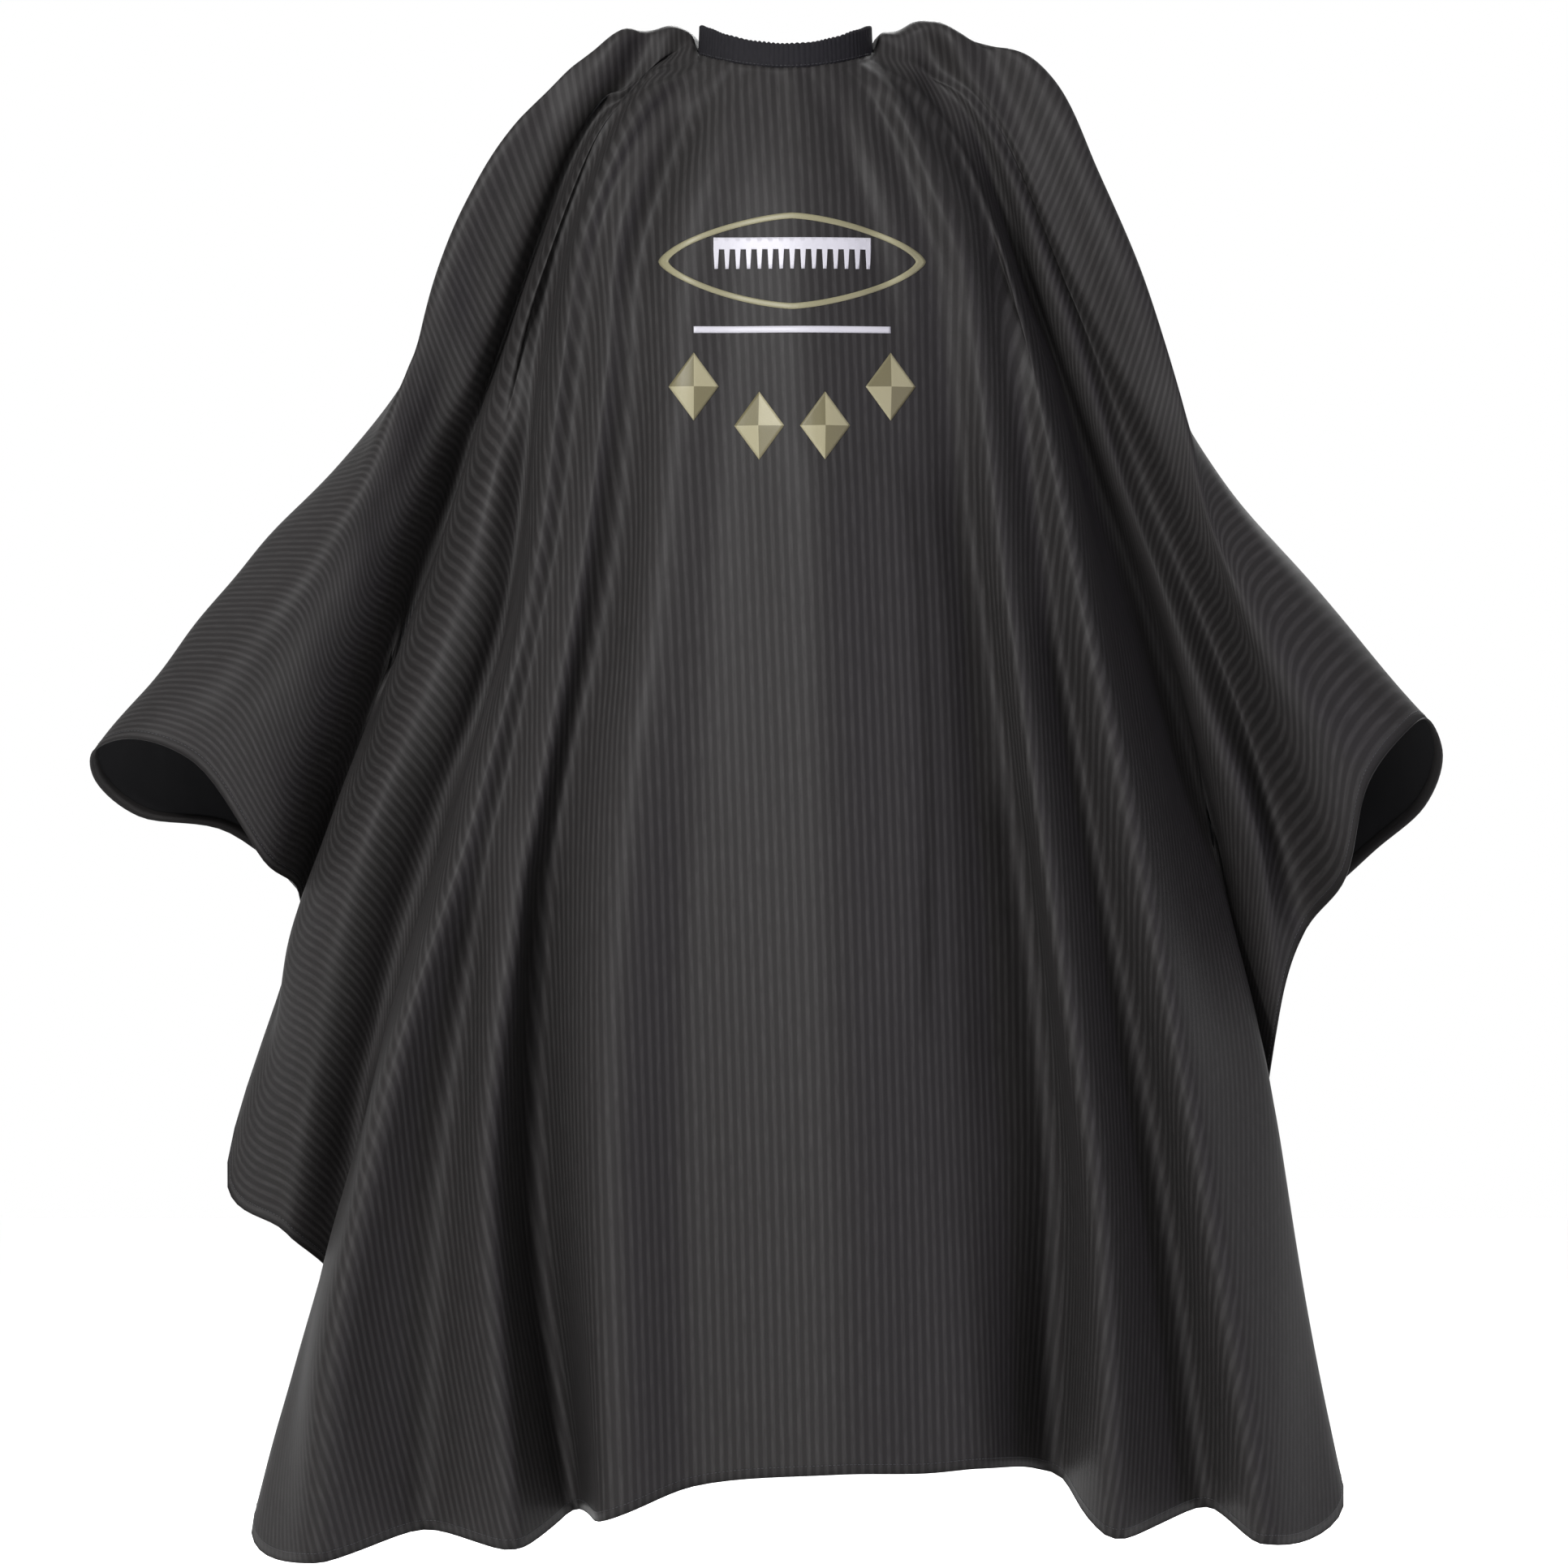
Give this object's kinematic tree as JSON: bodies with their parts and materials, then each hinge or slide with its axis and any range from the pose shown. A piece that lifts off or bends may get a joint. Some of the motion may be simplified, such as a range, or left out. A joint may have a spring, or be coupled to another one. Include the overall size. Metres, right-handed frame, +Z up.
{
  "type": "barber cape",
  "caption": "Draped black pinstriped barber cape with a gathered elastic neckband that opens at the back on snaps, a hanging care label and a printed chest emblem.",
  "frame": {"origin": "centre of the neck opening, in the middle of the neckband's height", "axes": "+Z up, -Y to the wearer's front, +X to the wearer's left"},
  "size_m": [1.0437, 0.428, 1.175],
  "materials": {
    "cloth": "thin woven polyester, black with narrow grey pinstripes, soft sheen",
    "band": "plain black woven polyester, gathered, matt",
    "elastic": "ribbed woven elastic, matt",
    "snap": "nickel plated, satin",
    "label": "woven satin ribbon, blank",
    "white_film": "heat-set print film, satin",
    "gold_film": "heat-set print film, pale gold, satin"
  },
  "bodies": {
    "root": {"emblem_outline": "gold_film", "emblem_comb": "white_film", "emblem_rule": "white_film", "emblem_lozenge_1": "gold_film", "emblem_lozenge_2": "gold_film", "emblem_lozenge_3": "gold_film", "emblem_lozenge_4": "gold_film", "cape_front": "cloth", "cape_side_left": "cloth", "cape_side_right": "cloth", "cape_rear_left": "cloth", "cape_rear_right": "cloth", "neckband_front": "band", "elastic_front": "elastic"},
    "back_left": {"cape_back_left": "cloth", "neckband_back_left": "band", "elastic_back_left": "elastic", "snap_stud_1": "snap", "snap_stud_2": "snap", "snap_stud_3": "snap", "snap_post_1": "snap", "snap_post_2": "snap", "snap_post_3": "snap"},
    "back_right": {"cape_back_right": "cloth", "neckband_back_right": "band", "elastic_back_right": "elastic"},
    "tab": {"closure_tab": "band", "snap_socket_1": "snap", "snap_socket_2": "snap", "snap_cap_1": "snap", "snap_cap_2": "snap"},
    "label": {"care_label": "label"}
  },
  "joints": [
    {"name": "back_right_swing", "type": "hinge", "parent": "root", "child": "back_right", "pos_m": [0.0373, 0.0574, 0.008], "axis": [0.1217, 0.2115, -0.9698], "range_deg": [0, 75]},
    {"name": "back_left_swing", "type": "hinge", "parent": "root", "child": "back_left", "pos_m": [-0.0373, 0.0574, 0.008], "axis": [0.1217, -0.2115, 0.9698], "range_deg": [0, 75]},
    {"name": "closure_tab_peel", "type": "hinge", "parent": "back_right", "child": "tab", "pos_m": [0.0125, 0.068, -0.007], "axis": [0, 0, -1], "range_deg": [0, 70]},
    {"name": "care_label_flip", "type": "hinge", "parent": "back_right", "child": "label", "pos_m": [0.017, 0.0575, -0.0195], "axis": [-1, 0, 0], "range_deg": [0, 80]}
  ],
  "couplings": [
    {"joint": "back_left_swing", "follows": "back_right_swing", "ratio": 1}
  ]
}
